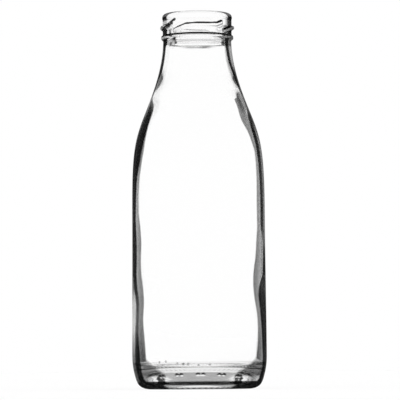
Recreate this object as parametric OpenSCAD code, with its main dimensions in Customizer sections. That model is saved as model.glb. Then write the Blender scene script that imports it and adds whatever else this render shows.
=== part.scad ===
// One-litre glass milk bottle with a four-lug twist-off mouth.
// The bottle is one blown piece of clear glass, standing on the XY plane with +Z up.

/* [Body] */
// Diameter of the straight body, at half height
body_d = 87.8; // [85:0.2:92]
// Diameter just above the heel, where the bottle is widest
heel_d = 88.8; // [87:0.2:94]
// Height at which the heel meets the body
heel_h = 22; // [18:0.5:30]
// Height at which the body starts to turn into the shoulder
body_top_h = 111; // [95:1:120]

/* [Shoulder and neck] */
// Height of the place where the shoulder turns into the neck's flare
flare_h = 180.4; // [174:0.2:186]
// Diameter at that place
flare_d = 71.4; // [66:0.2:76]
// How fast the radius shrinks there, in mm per mm of height
flare_slope = 0.4; // [0.3:0.01:0.48]
// Diameter of the neck, under the bead
neck_d = 45.2; // [43.4:0.1:45.6]

/* [Mouth] */
// Overall height, at the sealing face
bottle_h = 248.6; // [247.6:0.2:252]
// Outer diameter of the mouth between the lugs
root_d = 45.8; // [45.2:0.1:46.4]
// Outer diameter of the lip above the lugs
lip_d = 46.3; // [46:0.1:47]
// Height of the lip's band
lip_band_h = 4; // [3.5:0.25:5]
// Diameter of the straight bore
bore_d = 33.6; // [31:0.2:37]
// Length of the straight bore
bore_l = 15; // [12:0.5:16]
// Diameter of the transfer bead under the lugs
bead_d = 48; // [47:0.1:49]
// Height of the bead's underside
bead_h = 230; // [229:0.2:230.6]

/* [Lugs] */
// Number of lugs
lug_count = 4; // [3:1:6]
// Outer diameter over the lugs
lug_d = 49.2; // [48:0.1:50]
// Height of a lug's low end
lug_low_h = 236.2; // [235.4:0.1:236.6]
// Climb of a lug from its low end to its high end
lug_rise = 4.4; // [3:0.1:5.6]
// Width of a lug's crest
lug_crest = 1; // [0.6:0.1:1.6]
// Angle over which one lug runs
lug_span = 86; // [50:1:90]
// Direction of the first lug's low end, from +X
lug_start = 49; // [0:1:89]

/* [Glass] */
// Wall in the neck, just under the bead
neck_wall = 2.8; // [2:0.1:3.6]
// Wall in the neck's flare
flare_wall = 1.8; // [1.4:0.1:3]
// Wall of the body
body_wall = 2.1; // [1.6:0.1:3.2]
// Wall above the heel
heel_wall = 3.1; // [2.4:0.1:4.6]
// Glass in the middle of the bottom
bottom_wall = 4.6; // [3.5:0.1:7]

/* [Base] */
// Outer diameter of the ring that the bottle stands on
ring_outer_d = 64; // [61:0.5:68]
// Width of that ring
ring_w = 3; // [2:0.1:5]
// Height of the push-up's edge, just inside the ring
push_edge = 1.2; // [0.8:0.1:2]
// Height of the push-up in the middle
push_up = 3.4; // [2.2:0.1:4.5]
// Number of grip grooves across the ring
groove_count = 60; // [36:1:72]
// Depth of a grip groove
groove_depth = 0.4; // [0.2:0.05:0.6]
// Number of pairs of raised pips around the push-up
pip_pairs = 12; // [6:1:16]
// Diameter of one pip
pip_d = 2.4; // [1.8:0.1:2.8]
// Angle between the two pips of a pair
pip_apart = 6.8; // [6.6:0.1:9]
// Direction of the first pair, from +X
pip_start = 1.3; // [0:0.1:30]

/* [Hidden] */
$fn = 96;

// Points on each long stretch of the outline, and on each small round
STEPS = 12;
ROUND_STEPS = 5;

// Outside radii
body_r = body_d / 2;
heel_r = heel_d / 2;
flare_r = flare_d / 2;
neck_r = neck_d / 2;
root_r = root_d / 2;
lip_r = lip_d / 2;
bead_r = bead_d / 2;
lug_r = lug_d / 2;
ring_r = ring_outer_d / 2;
ring_in_r = ring_r - ring_w;

// Inside radii
bore_r = bore_d / 2;
in_neck_r = neck_r - neck_wall;
in_flare_r = flare_r - flare_wall;
in_body_r = body_r - body_wall;
in_heel_r = heel_r - heel_wall;

// Pull of each long curve, in mm of height: the taper above the heel and below
// the shoulder, the shoulder's low and high ends, the flare's low and high ends
taper_low = 28;
taper_high = 30;
shoulder_low = 42;
shoulder_high = 18;
flare_low = 16;
flare_high = 18;
neck_opening = 0.5;

// Heel: a tight corner up to the mould's parting line, then a gentle curve
part_h = 6.2;
part_r = heel_r - 2.5;
ring_pull = 5;
part_pull = [1.3, 4.4];
heel_low = [0.9, 3.3];
heel_high = 8;

// Bead: height of its widest band and of its flat top, and its soft corners
bead_crest_h = bead_h + 2.2;
bead_top_h = bead_h + 3.9;
bead_soft = 1.2;
bead_sharp = 0.2;

// Lip: its slope out from the root, and its outer and inner corners
lip_slope_h = 0.6;
lip_corner = 2.4;
mouth_corner = 2;

// Bore, and the throat below it, which opens out to the neck
bore_top_h = bottle_h - mouth_corner;
bore_low_h = bore_top_h - bore_l;
throat_h = 5;
throat_pull = 3;
throat_low_h = bore_low_h - throat_h;

// Inside of the bottom: the wall turns tightly into a shallow cone, which runs down
// to a groove round the floor. The runs of the corner and of the floor say how far
// the cone pulls the curves at its two ends.
floor_h = push_up + bottom_wall;
cone_slope = 0.46;
cone_run = 11.8;
cone_out_r = in_heel_r - 4.9;
cone_in = [cone_out_r - cone_run, floor_h - 1.1];
cone_out = [cone_out_r, cone_in.y + cone_run * cone_slope];
corner_h = cone_out.y + 6.2;
corner_drop = 3.2;
corner_run = 2.2;
floor_run = 2;
floor_flat = 14;

// Lugs: each is a stretch of a tilted ring, set off centre so that its ends run out
lug_out = 3;
lug_ring_r = lug_r - lug_out;
lug_tilt = asin(lug_rise / lug_r);
lug_root = 3.2;
lug_top_flank = 1.1;
lug_low_flank = 1.6;
lug_edge = [0.25, 0.2];
lug_clear_r = bore_r + 1.5;

// Base: edge of the dome, its pips, and the grooves across the ring
dome_r = ring_in_r - 1.2;
pip_ring_r = dome_r - 1.8;
pip_proud = 0.5;
pip_ball_r = (pow(pip_d / 2, 2) + pow(pip_proud, 2)) / (2 * pip_proud);
groove_w = 1.5;
groove_in_r = ring_in_r + 1.4;
groove_below = 1;

// A cubic curve from a to d, pulled towards b and c, without its first point
function curve(a, b, c, d, n = STEPS) = [
    for (i = [1 : n])
        let (t = i / n, u = 1 - t)
        u * u * u * a + 3 * u * u * t * b + 3 * u * t * t * c + t * t * t * d
];

// A round corner about a centre, from one angle to another
function corner(centre, r, from, to) = [
    for (i = [0 : ROUND_STEPS])
        let (a = from + (to - from) * i / ROUND_STEPS)
        centre + r * [cos(a), sin(a)]
];

// The same points in the other order
function backwards(points) = [
    for (i = [len(points) - 1 : -1 : 0])
        points[i]
];

// A point on the slope through the place where shoulder and flare meet
function on_slope(r, up) = [r - flare_slope * up, flare_h + up];

// Height of the push-up's underside at a distance from the axis: a shallow dome
function dome_z(r) = push_edge + (push_up - push_edge) * (1 - pow(r / dome_r, 2));

// Underside, from the middle of the push-up out to the ring
function base_outline() = concat(
    [
        for (i = [0 : STEPS])
            let (r = dome_r * i / STEPS)
            [r, dome_z(r)]
    ],
    [[ring_in_r, 0], [ring_r, 0]]
);

// Heel, from the ring up to the body's widest place
function heel_outline() = concat(
    curve(
        [ring_r, 0],
        [ring_r + ring_pull, 0],
        [part_r, part_h] - part_pull,
        [part_r, part_h]
    ),
    curve(
        [part_r, part_h],
        [part_r, part_h] + heel_low,
        [heel_r, heel_h - heel_high],
        [heel_r, heel_h]
    )
);

// One long skin of the bottle: body, shoulder and flare, from low to high
function skin_outline(low_h, low_r, mid_r, slope_r, top_r, top_h) = concat(
    curve(
        [low_r, low_h],
        [low_r, low_h + taper_low],
        [mid_r, body_top_h - taper_high],
        [mid_r, body_top_h]
    ),
    curve(
        [mid_r, body_top_h],
        [mid_r, body_top_h + shoulder_low],
        on_slope(slope_r, -shoulder_high),
        on_slope(slope_r, 0)
    ),
    curve(
        on_slope(slope_r, 0),
        on_slope(slope_r, flare_low),
        [top_r + neck_opening, top_h - flare_high],
        [top_r, top_h]
    )
);

// Transfer bead, with a soft underside and a flat top
function bead_outline() = concat(
    curve(
        [neck_r, bead_h],
        [neck_r, bead_h + bead_soft],
        [bead_r, bead_h + bead_soft],
        [bead_r, bead_crest_h],
        ROUND_STEPS
    ),
    curve(
        [bead_r, bead_crest_h],
        [bead_r, bead_crest_h + bead_soft],
        [bead_r - bead_sharp, bead_top_h - bead_sharp],
        [root_r, bead_top_h],
        ROUND_STEPS
    )
);

// Lip, from the root above the lugs over the sealing face and down the bore
function lip_outline() = concat(
    [
        [root_r, bottle_h - lip_band_h],
        [lip_r, bottle_h - lip_band_h + lip_slope_h]
    ],
    corner([lip_r - lip_corner, bottle_h - lip_corner], lip_corner, 0, 90),
    corner([bore_r + mouth_corner, bore_top_h], mouth_corner, 90, 180)
);

// Inside, from the middle of the bottom up to the bore's low end
function inner_outline() = concat(
    [[0, floor_h]],
    curve(
        [0, floor_h],
        [floor_flat, floor_h],
        cone_in - floor_run * [1, cone_slope],
        cone_in
    ),
    [cone_out],
    curve(
        cone_out,
        cone_out + corner_run * [1, cone_slope],
        [in_heel_r, corner_h - corner_drop],
        [in_heel_r, corner_h]
    ),
    skin_outline(corner_h, in_heel_r, in_body_r, in_flare_r, in_neck_r, throat_low_h),
    curve(
        [in_neck_r, throat_low_h],
        [in_neck_r, throat_low_h + throat_pull],
        [bore_r, bore_low_h - throat_pull],
        [bore_r, bore_low_h]
    )
);

// The bottle without its lugs, grooves and pips
module glass_shell() {
    rotate_extrude()
        polygon(concat(
            base_outline(),
            heel_outline(),
            skin_outline(heel_h, heel_r, body_r, flare_r, neck_r, bead_h),
            bead_outline(),
            lip_outline(),
            backwards(inner_outline())
        ));
}

// Cross-section of a lug, from its root out to its crest
module lug_section() {
    half = lug_crest / 2;
    polygon([
        [-lug_root, -half - lug_low_flank],
        [-lug_edge.x, -half],
        [0, -half + lug_edge.y],
        [0, half - lug_edge.y],
        [-lug_edge.x, half],
        [-lug_root, half + lug_top_flank]
    ]);
}

// The wedge of space that one lug fills, clear of the bore and the bead's foot
module lug_sector() {
    middle = lug_r / cos(lug_span / 4);
    difference() {
        translate([0, 0, bead_crest_h])
            linear_extrude(bottle_h - bead_crest_h)
            polygon([
                [0, 0],
                [2 * lug_r, 0],
                2 * middle * [cos(lug_span / 2), sin(lug_span / 2)],
                2 * lug_r * [cos(lug_span), sin(lug_span)]
            ]);
        translate([0, 0, bead_h])
            cylinder(h = bottle_h, r = lug_clear_r);
    }
}

// One lug: it starts low at +X and climbs as it goes round
module lug() {
    intersection() {
        translate([0, 0, lug_low_h])
            rotate([lug_tilt, 0, 0])
            rotate([0, 0, lug_span / 2])
            translate([lug_out, 0, 0])
            rotate_extrude()
            translate([lug_ring_r, 0])
            lug_section();
        lug_sector();
    }
}

// The grip grooves across the standing ring
module grooves() {
    for (i = [0 : groove_count - 1])
        rotate([0, 0, i * 360 / groove_count])
            translate([groove_in_r, -groove_w / 2, -groove_below])
            cube([ring_r, groove_w, groove_below + groove_depth]);
}

// The pips around the push-up, in pairs, each a low cap of a ball
module pips() {
    for (i = [0 : pip_pairs - 1], side = [-1, 1])
        rotate([0, 0, pip_start + i * 360 / pip_pairs + side * pip_apart / 2])
            translate([pip_ring_r, 0, dome_z(pip_ring_r) - pip_proud + pip_ball_r])
            sphere(r = pip_ball_r);
}

module glass_bottle() {
    color("gainsboro", 0.4)
    difference() {
        union() {
            glass_shell();
            for (i = [0 : lug_count - 1])
                rotate([0, 0, lug_start + i * 360 / lug_count])
                    lug();
            pips();
        }
        grooves();
    }
}

glass_bottle();
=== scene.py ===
"""A clear glass one-litre milk bottle with a four-lug twist-off mouth.

The bottle is one piece of moulded glass, so it is one closed skin here too:
a single outline is carried round the axis, from the middle of the underside,
up the outside, over the lip, down the bore and the inner wall, and in to the
middle of the floor. Each stretch of the outline has its own number of points
round the axis, so that grooves, pips and lugs are fine and the plain body is
light. Sizes are in millimetres, and the mesh is in metres.
"""

import logging
import math
from dataclasses import dataclass, field
from enum import Enum
from typing import Any, Callable, ClassVar, Protocol

import bpy
import numpy as np
from mathutils import Matrix, Vector


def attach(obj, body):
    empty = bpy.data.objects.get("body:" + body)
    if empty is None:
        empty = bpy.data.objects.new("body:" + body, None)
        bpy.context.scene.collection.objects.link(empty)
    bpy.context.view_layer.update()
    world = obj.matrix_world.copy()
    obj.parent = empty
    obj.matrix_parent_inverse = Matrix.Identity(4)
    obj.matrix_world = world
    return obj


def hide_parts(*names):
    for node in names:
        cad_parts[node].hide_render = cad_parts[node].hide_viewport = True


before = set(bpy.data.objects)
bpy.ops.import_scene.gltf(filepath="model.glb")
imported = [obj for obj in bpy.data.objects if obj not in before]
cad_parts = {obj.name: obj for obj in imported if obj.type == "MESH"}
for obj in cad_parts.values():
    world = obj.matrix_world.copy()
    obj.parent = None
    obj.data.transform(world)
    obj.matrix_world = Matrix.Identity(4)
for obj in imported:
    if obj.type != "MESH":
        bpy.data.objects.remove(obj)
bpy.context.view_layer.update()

LOG = logging.getLogger("milk_bottle")
MM = 0.001
NODE = "glass_bottle"

Array = np.ndarray
Pair = tuple[float, float]
Edge = tuple[float, float]  # a soft edge: where it starts to come in, and where it is all in
Colour = tuple[float, float, float, float]
Marks = dict[str, Array]

WHITE: Colour = (1.0, 1.0, 1.0, 1.0)
NEVER = 1.5  # a facing value that no angle reaches


# ---------------------------------------------------------------- curves


def smooth(low: float, high: float, x: Array) -> Array:
    """Gives 0 below low, 1 above high, and 3t^2 - 2t^3 between them."""
    t = np.clip((x - low) / (high - low), 0.0, 1.0)
    return t * t * (3.0 - 2.0 * t)


def above(edge: Edge, x: Array) -> Array:
    """Gives 0 below a soft edge and 1 above it."""
    return smooth(edge[0], edge[1], x)


def below(edge: Edge, x: Array) -> Array:
    """Gives 1 below a soft edge and 0 above it."""
    return 1.0 - smooth(edge[0], edge[1], x)


def between(low: Edge, high: Edge, x: Array) -> Array:
    """Gives 1 between two soft edges and 0 outside them."""
    return above(low, x) * below(high, x)


def mix(a: Any, b: Any, share: Array) -> Array:
    """Goes from a to b as share goes from 0 to 1: a + (b - a) share."""
    return a + (b - a) * share


def bezier(a: Any, b: Any, c: Any, d: Any, count: int) -> Array:
    """Walks a cubic curve, without its first point.

    Args:
        a: where the curve starts.
        b: what pulls it away from its start.
        c: what pulls it into its end.
        d: where it ends.
        count: how many points to give.

    Returns:
        A (count, 2) array of u^3 a + 3 u^2 t b + 3 u t^2 c + t^3 d, with
        t evenly spaced up to 1 and u = 1 - t.
    """
    t = (np.arange(1, count + 1) / count)[:, None]
    u = 1.0 - t
    a, b, c, d = (np.asarray(p, float) for p in (a, b, c, d))
    return u**3 * a + 3 * u * u * t * b + 3 * u * t * t * c + t**3 * d


def line(a: Any, b: Any, count: int) -> Array:
    """Walks a straight line in count even steps, without its first point."""
    t = (np.arange(1, count + 1) / count)[:, None]
    return (1.0 - t) * np.asarray(a, float) + t * np.asarray(b, float)


def arc(centre: Any, radius: float, start: float, end: float, count: int) -> Array:
    """Walks a circular arc between two angles in degrees, without its first point."""
    t = np.radians(start + (end - start) * np.arange(1, count + 1) / count)
    return np.asarray(centre, float) + radius * np.stack([np.cos(t), np.sin(t)], 1)


# ---------------------------------------------------------------- sizes


@dataclass(frozen=True)
class BottleSizes:
    """The bottle's sizes in millimetres, the same as the solid part's.

    A name that ends in r is a radius, in h a height and in l a length. The
    heights are from the foot, apart from lip_band_h, which is from the top.
    """

    body_r: float = 43.9
    heel_r: float = 44.4
    heel_h: float = 22.0
    body_top_h: float = 111.0
    flare_h: float = 180.4
    flare_r: float = 35.7
    flare_slope: float = 0.4
    neck_r: float = 22.6
    height: float = 248.6
    root_r: float = 22.9
    lip_r: float = 23.15
    lip_band_h: float = 4.0
    bore_r: float = 16.8
    bore_l: float = 15.0
    bead_r: float = 24.0
    bead_h: float = 230.0
    part_h: float = 6.2
    part_in: float = 2.5
    ring_r: float = 32.0
    ring_w: float = 3.0
    dome_r: float = 27.8
    push_edge: float = 1.2
    push_up: float = 3.4
    neck_wall: float = 2.8
    flare_wall: float = 1.8
    body_wall: float = 2.1
    heel_wall: float = 3.1
    bottom_wall: float = 4.6


@dataclass(frozen=True)
class Pulls:
    """How the outline's curves bend, in millimetres.

    A pull is how far the point that pulls a curve stands from the curve's
    end. Where it is a pair, it gives the radius and the height apart. The
    roll, the rounds, the crest, the top, the fillet, the step, the throat's
    length and the cone's ends are places on the outline, measured from the
    size that they are next to. corner_h is a height from the foot, and
    floor_flat the radius at which the floor's curve is pulled level.
    """

    dome_roll: float = 0.2
    ring_round: float = 0.5
    foot: float = 5.0
    part_low: Pair = (1.3, 4.4)
    part_high: Pair = (0.9, 3.3)
    heel: float = 8.0
    body_low: float = 28.0
    body_high: float = 30.0
    shoulder_low: float = 42.0
    shoulder_high: float = 18.0
    flare_low: float = 16.0
    flare_high: Pair = (0.5, 18.0)
    bead_crest: float = 2.2
    bead_top: float = 3.9
    bead_low: float = 1.2
    bead_high: float = 1.3
    bead_lean: Pair = (0.1, 0.15)
    fillet: float = 0.25
    fillet_low: Pair = (0.05, 0.02)
    fillet_high: float = 0.1
    fillet_h: float = 0.3
    lip_step: float = 0.7
    lip_pull: float = 0.3
    lip_round: float = 2.4
    bore_round: float = 2.0
    throat_l: float = 5.0
    throat: float = 3.0
    corner_h: float = 18.5
    corner: float = 3.2
    corner_run: Pair = (2.2, 1.01)
    cone_out: Pair = (4.9, 4.33)
    cone_in: Pair = (16.7, 1.1)
    floor_run: Pair = (2.0, 0.92)
    floor_flat: float = 14.0


@dataclass(frozen=True)
class Lugs:
    """The four slanted ridges that a twist-off cap's lugs run under.

    The first starts start degrees from +X, and each is span degrees long.
    Its crest starts at low_h. It climbs by ramp over ramp_share of its
    length, by climb over all of it, and by flick from flick_from on. The
    crest is 2 half_crest wide, between two flanks.
    """

    count: int = 4
    crest_r: float = 24.6
    low_h: float = 235.9
    ramp: float = 2.9
    ramp_share: float = 0.27
    climb: float = 0.9
    flick: float = 1.6
    flick_from: float = 0.84
    span: float = 86.0
    start: float = 49.0
    half_crest: float = 0.45
    low_flank: float = 1.7
    top_flank: float = 1.0
    run_out: float = 5.0

    def lift(self, turn: Array, height: Array, root_r: Array) -> Array:
        """Raises the lugs from the mouth's outside.

        Each lug has a short steep ramp, min(x / ramp_share, 1), climbs
        evenly with x, which is how far along it is, and flicks up at its
        end. Its section is flat on top, with a long lower flank and a steep
        upper one, and it fades over run_out degrees at both ends.

        Args:
            turn: angle round the axis, in radians.
            height: height of each point.
            root_r: radius of the plain outline at each point.

        Returns:
            How far each point moves out.
        """
        step = 360.0 / self.count
        along = (np.degrees(turn) - self.start) % step
        past = np.where(along > (self.span + step) / 2, along - step, along)
        x = np.clip(past / self.span, 0.0, 1.0)
        steep = np.clip(x / self.ramp_share, 0.0, 1.0)
        crest = self.low_h + self.ramp * steep + self.climb * x
        crest = crest + self.flick * smooth(self.flick_from, 1.0, x)
        low_flank = (-self.half_crest - self.low_flank, -self.half_crest)
        top_flank = (self.half_crest, self.half_crest + self.top_flank)
        section = between(low_flank, top_flank, height - crest)
        fade = (-self.run_out / 2, self.run_out / 2)
        ends = above(fade, past) * below(fade, past - self.span)
        return np.maximum(self.crest_r - root_r, 0.0) * section * ends


@dataclass(frozen=True)
class StandingRing:
    """The grooved ring that the bottle stands on, and the pips inside it.

    groove_side is a groove's soft side, as a cosine, and groove_start its
    inner end, as radii. pip_apart and pip_turn are degrees. A pip's halves
    reach so many pip radii from its centre, and their soft edges are
    distances from the ring of pips.
    """

    grooves: int = 60
    depth: float = 0.4
    groove_side: Edge = (-0.25, 0.45)
    groove_start: Edge = (30.0, 30.6)
    pip_pairs: int = 12
    pip_apart: float = 3.4
    pip_ring_r: float = 26.0
    pip_r: float = 1.2
    pip_turn: float = 1.3
    pip_proud: float = 0.5
    outer_reach: float = 1.15
    outer_edge: Edge = (-0.45, -0.15)
    inner_reach: float = 0.78
    inner_edge: Edge = (0.0, 0.3)

    def cut(self, turn: Array, radius: Array, height: Array) -> Array:
        """Cuts the grip grooves.

        A groove's floor is level, depth above the ground, and its section
        across is a rounded pulse of the cosine of the turn.

        Args:
            turn: angle round the axis, in radians.
            radius: distance from the axis.
            height: height of each point of the plain outline.

        Returns:
            The new heights.
        """
        pulse = above(self.groove_side, np.cos(turn * self.grooves))
        floor = self.depth * pulse * above(self.groove_start, radius)
        return np.maximum(height, floor)

    def away(self, turn: Array, radius: Array) -> Array:
        """Gives how far each point is from the nearest pip's centre, in pip radii.

        The pips stand in pairs, pip_apart degrees to either side of the
        pair's middle.

        Args:
            turn: angle round the axis, in radians.
            radius: distance from the axis.

        Returns:
            The distance at each point.
        """
        step = 2 * math.pi / self.pip_pairs
        off = (turn - math.radians(self.pip_turn) + math.pi / 2 + step / 2) % step - step / 2
        across = self.pip_ring_r * (np.abs(off) - math.radians(self.pip_apart))
        return np.hypot(radius - self.pip_ring_r, across) / self.pip_r

    def stud(self, turn: Array, radius: Array, height: Array) -> Array:
        """Presses the round pips down from the underside's dome.

        Near a pip's centre the surface drops by proud * (1 - (d / r)^2)^1.5,
        d being the distance from its centre.

        Args:
            turn: angle round the axis, in radians.
            radius: distance from the axis.
            height: height of each point of the dome.

        Returns:
            The new heights.
        """
        return height - self.pip_proud * np.clip(1.0 - self.away(turn, radius) ** 2, 0.0, 1.0) ** 1.5

    def outer_half(self, turn: Array, radius: Array) -> Array:
        """Marks the half of each pip that faces away from the axis, which gets painted shade."""
        near = self.away(turn, radius) < self.outer_reach
        return near * above(self.outer_edge, radius - self.pip_ring_r)

    def inner_half(self, turn: Array, radius: Array) -> Array:
        """Marks the half of each pip that faces the axis, which the painted grey shade leaves clear."""
        near = self.away(turn, radius) < self.inner_reach
        return near * above(self.inner_edge, self.pip_ring_r - radius)


@dataclass(frozen=True)
class HeelDots:
    """A short row of small round mould dots low on the front of the heel.

    turns are degrees round from the front, which faces -Y. The heights, the
    radius and how proud a dot stands are in millimetres.
    """

    turns: tuple[float, ...] = (-36.0, -29.5, -19.0, -13.8, -9.8, -0.9, 8.6)
    heights: tuple[float, ...] = (17.6, 18.0, 16.8, 16.5, 16.3, 15.7, 16.0)
    radius: float = 1.05
    proud: float = 0.22

    def lift(self, turn: Array, height: Array, heel_r: float) -> Array:
        """Raises the dots: each adds proud * (1 - (d / r)^2)^2 to the radius.

        d is the distance from the dot's middle along the glass.

        Args:
            turn: angle round the axis, in radians.
            height: height of each point.
            heel_r: radius of the heel.

        Returns:
            How far each point moves out.
        """
        out = np.zeros(np.broadcast(turn, height).shape)
        for at, up in zip(self.turns, self.heights):
            off = (turn - math.radians(at) + 1.5 * math.pi) % (2 * math.pi) - math.pi
            away = ((off * heel_r) ** 2 + (height - up) ** 2) / self.radius**2
            out = out + self.proud * np.clip(1.0 - away, 0.0, 1.0) ** 2
        return out


@dataclass(frozen=True)
class PaintedMouthStrokes:
    """Painted shade: short dark strokes in the mouth's margins, where lug ends and the bead bend the light
    away.

    Each one is a straight stroke on the front of the mouth: X and Z of its
    two ends, half its width and how dark it is.
    """

    strokes: tuple[tuple[float, ...], ...] = (
        (-24.2, 236.8, -19.0, 240.3, 0.7, 0.98),
        (-19.0, 240.3, -14.9, 243.3, 0.9, 0.98),
        (-15.2, 230.4, -13.9, 226.9, 0.9, 0.98),
        (-17.4, 227.4, -15.6, 226.0, 0.7, 0.70),
        (16.5, 228.3, 17.2, 227.5, 0.8, 0.95),
    )
    soft: float = 0.45

    def darkness(self, points: Array) -> Array:
        """Gives how much painted shade the strokes put on each point.

        A stroke is full up to (1 - soft) of its half width and fades to
        nothing at (1 + soft) of it.

        Args:
            points: (count, 3) points.

        Returns:
            The darkness at each point.
        """
        found = np.zeros(len(points))
        for x0, z0, x1, z1, half, dark in self.strokes:
            along = np.array([x1 - x0, z1 - z0])
            from_start = points[:, [0, 2]] - np.array([x0, z0])
            share = np.clip(from_start @ along / (along @ along), 0.0, 1.0)
            away = np.linalg.norm(from_start - share[:, None] * along, axis=1)
            full = dark * (1.0 - smooth(half * (1.0 - self.soft), half * (1.0 + self.soft), away))
            found = np.maximum(found, full)
        return found * (points[:, 1] < 0.0)


class Column(Enum):
    """What a row of a Side says about the wall, by the number of its column."""

    HEIGHT = 0
    WALL = 1
    STREAK_IN = 2
    STREAK_OUT = 3
    RIM = 4
    STREAK = 5
    VEIL_IN = 6
    VEIL = 7


@dataclass(frozen=True)
class Side:
    """How the glass runs up one side of the blown wall.

    Each row gives a height, the wall's thickness there, and the painted dark
    streak that stands in the margin: how far in from the outline it reaches,
    and where it starts, all in millimetres. Then come how dark the painted
    outermost line is and how dark the streak is, how far in the painted shade
    beside the streak reaches, and how dark that is.
    """

    rows: tuple[tuple[float, ...], ...]


LEFT = Side(
    (
        (10, 3.1, 5.0, 2.2, 0.80, 0.98, 22.0, 0.80),
        (15, 3.1, 5.0, 2.2, 0.80, 0.98, 15.5, 0.52),
        (20, 3.1, 5.0, 2.2, 0.80, 0.98, 10.5, 0.60),
        (30, 2.9, 4.2, 2.4, 0.65, 0.98, 8.6, 0.45),
        (38, 2.7, 3.6, 2.4, 0.40, 0.88, 8.0, 0.30),
        (46, 2.6, 3.9, 2.8, 0.35, 0.82, 7.5, 0.15),
        (58, 2.8, 4.0, 2.9, 0.40, 0.85, 7.0, 0.00),
        (66, 2.6, 2.9, 1.5, 0.80, 0.97, 7.0, 0.00),
        (75, 2.3, 2.4, 0.9, 0.90, 0.98, 7.0, 0.00),
        (85, 2.2, 2.7, 0.8, 0.92, 0.98, 7.0, 0.00),
        (97, 2.3, 2.6, 0.8, 0.88, 0.98, 7.0, 0.00),
        (110, 1.8, 2.0, 0.7, 0.85, 0.98, 7.0, 0.00),
        (115, 1.6, 2.1, 0.7, 0.85, 0.98, 7.0, 0.00),
        (127, 1.6, 2.3, 0.6, 0.87, 0.98, 7.0, 0.00),
        (139, 1.8, 2.7, 0.4, 0.90, 0.98, 7.0, 0.00),
        (148, 2.0, 3.9, 0.4, 0.90, 0.98, 7.0, 0.00),
        (158, 2.1, 4.6, 0.5, 0.88, 0.98, 7.0, 0.00),
        (170, 2.0, 4.3, 0.8, 0.88, 0.98, 7.0, 0.00),
        (183, 1.6, 3.6, 1.3, 0.80, 0.97, 7.0, 0.00),
        (187, 1.0, 2.8, 1.0, 0.70, 0.85, 7.0, 0.00),
        (191, 0.8, 0.6, 0.3, 0.55, 0.70, 5.0, 0.00),
        (199, 0.6, 0.6, 0.3, 0.75, 0.85, 5.0, 0.00),
        (204, 0.6, 0.8, 0.3, 0.72, 0.90, 5.0, 0.00),
        (209, 0.7, 1.5, 0.6, 0.75, 0.96, 5.0, 0.00),
        (214, 0.8, 1.5, 0.5, 0.82, 0.98, 5.0, 0.00),
        (222, 0.8, 1.5, 0.5, 0.75, 0.98, 5.0, 0.00),
    )
)
RIGHT = Side(
    (
        (10, 2.4, 2.4, 1.0, 0.90, 0.98, 21.0, 0.80),
        (15, 2.4, 2.4, 1.0, 0.90, 0.98, 13.0, 0.75),
        (20, 2.4, 2.4, 1.0, 0.90, 0.98, 8.0, 0.45),
        (32, 2.1, 2.6, 0.6, 0.96, 0.98, 7.0, 0.40),
        (40, 2.1, 2.9, 0.5, 0.96, 0.98, 6.0, 0.20),
        (50, 2.3, 3.5, 0.6, 0.95, 0.98, 6.0, 0.10),
        (61, 2.7, 4.6, 0.9, 0.90, 0.98, 6.0, 0.00),
        (67, 2.8, 4.2, 1.0, 0.90, 0.95, 5.0, 0.00),
        (75, 2.7, 1.8, 0.6, 0.93, 0.98, 3.8, 0.76),
        (86, 2.4, 1.4, 0.5, 0.93, 0.98, 3.4, 0.70),
        (98, 2.3, 1.5, 0.5, 0.80, 0.85, 3.4, 0.68),
        (106, 2.0, 2.6, 1.4, 0.78, 0.95, 3.4, 0.10),
        (121, 1.9, 2.5, 1.3, 0.78, 0.96, 3.4, 0.00),
        (145, 1.8, 2.8, 1.6, 0.78, 0.96, 3.4, 0.00),
        (158, 1.8, 2.8, 1.5, 0.78, 0.96, 3.4, 0.00),
        (170, 2.2, 2.8, 1.6, 0.80, 0.98, 4.0, 0.10),
        (179, 2.7, 2.0, 0.8, 0.82, 0.96, 5.0, 0.30),
        (184, 2.7, 0.9, 0.4, 0.82, 0.90, 5.0, 0.75),
        (193, 2.4, 0.8, 0.4, 0.82, 0.90, 5.0, 0.76),
        (196, 1.2, 1.2, 0.5, 0.82, 0.90, 3.6, 0.10),
        (202, 0.9, 1.6, 0.7, 0.80, 0.96, 3.4, 0.40),
        (208, 1.1, 2.1, 0.9, 0.78, 0.98, 4.4, 0.50),
        (215, 1.2, 3.1, 1.9, 0.68, 0.98, 5.0, 0.62),
        (222, 1.3, 3.4, 2.1, 0.62, 0.98, 5.0, 0.68),
        (227, 1.3, 4.2, 2.3, 0.62, 0.98, 5.0, 0.60),
    )
)


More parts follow.
